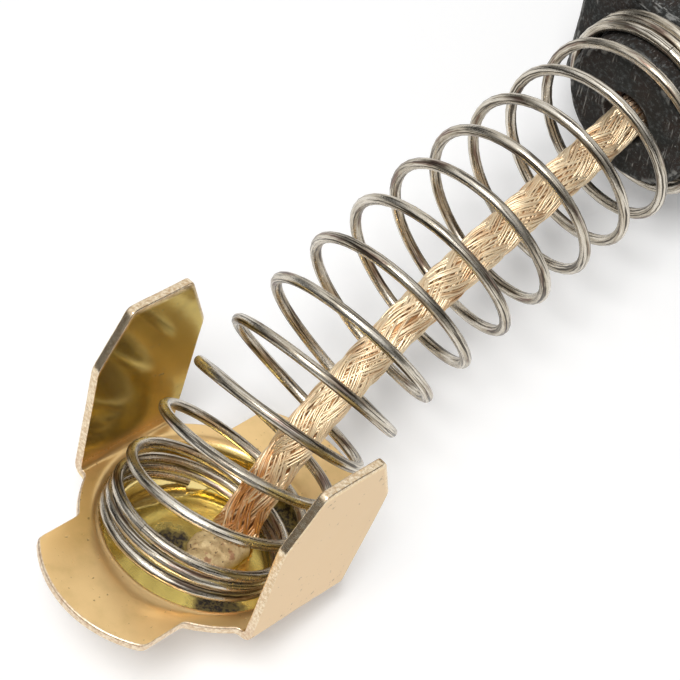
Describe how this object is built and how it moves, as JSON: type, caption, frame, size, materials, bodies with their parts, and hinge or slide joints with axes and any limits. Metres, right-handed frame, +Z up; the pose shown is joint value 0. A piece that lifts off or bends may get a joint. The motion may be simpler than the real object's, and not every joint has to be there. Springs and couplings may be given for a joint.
{
  "type": "carbon brush with spring and terminal cap",
  "caption": "Carbon brush of a power tool: carbon block, compression spring, copper braid and sheet-brass terminal cap with two flat wings and two bent ears.",
  "frame": {"origin": "on the table, under the middle of the part's bounding box", "axes": "+X from the cap to the carbon along the slide, +Y to the left seen from the cap, +Z up"},
  "size_m": [0.0618, 0.0134, 0.0148],
  "materials": {
    "brass_sheet": "bright stamped sheet",
    "spring_steel": "drawn wire",
    "copper_braid": "plaited bright copper wire",
    "tamping_powder": "rammed copper and graphite powder",
    "carbon": "matt electrographite"
  },
  "bodies": {
    "cap_body": {"terminal_cap": "brass_sheet", "spring": "spring_steel", "shunt_braid": "copper_braid"},
    "carbon_body": {"carbon_block": "carbon", "tamping_fill": "tamping_powder"}
  },
  "joints": [
    {"name": "carbon_slide", "type": "slide", "parent": "cap_body", "child": "carbon_body", "axis": [-1, 0, 0], "range_m": [0, 0.015], "stiffness_N_per_m": 110, "deforming": ["spring", "shunt_braid"]}
  ]
}
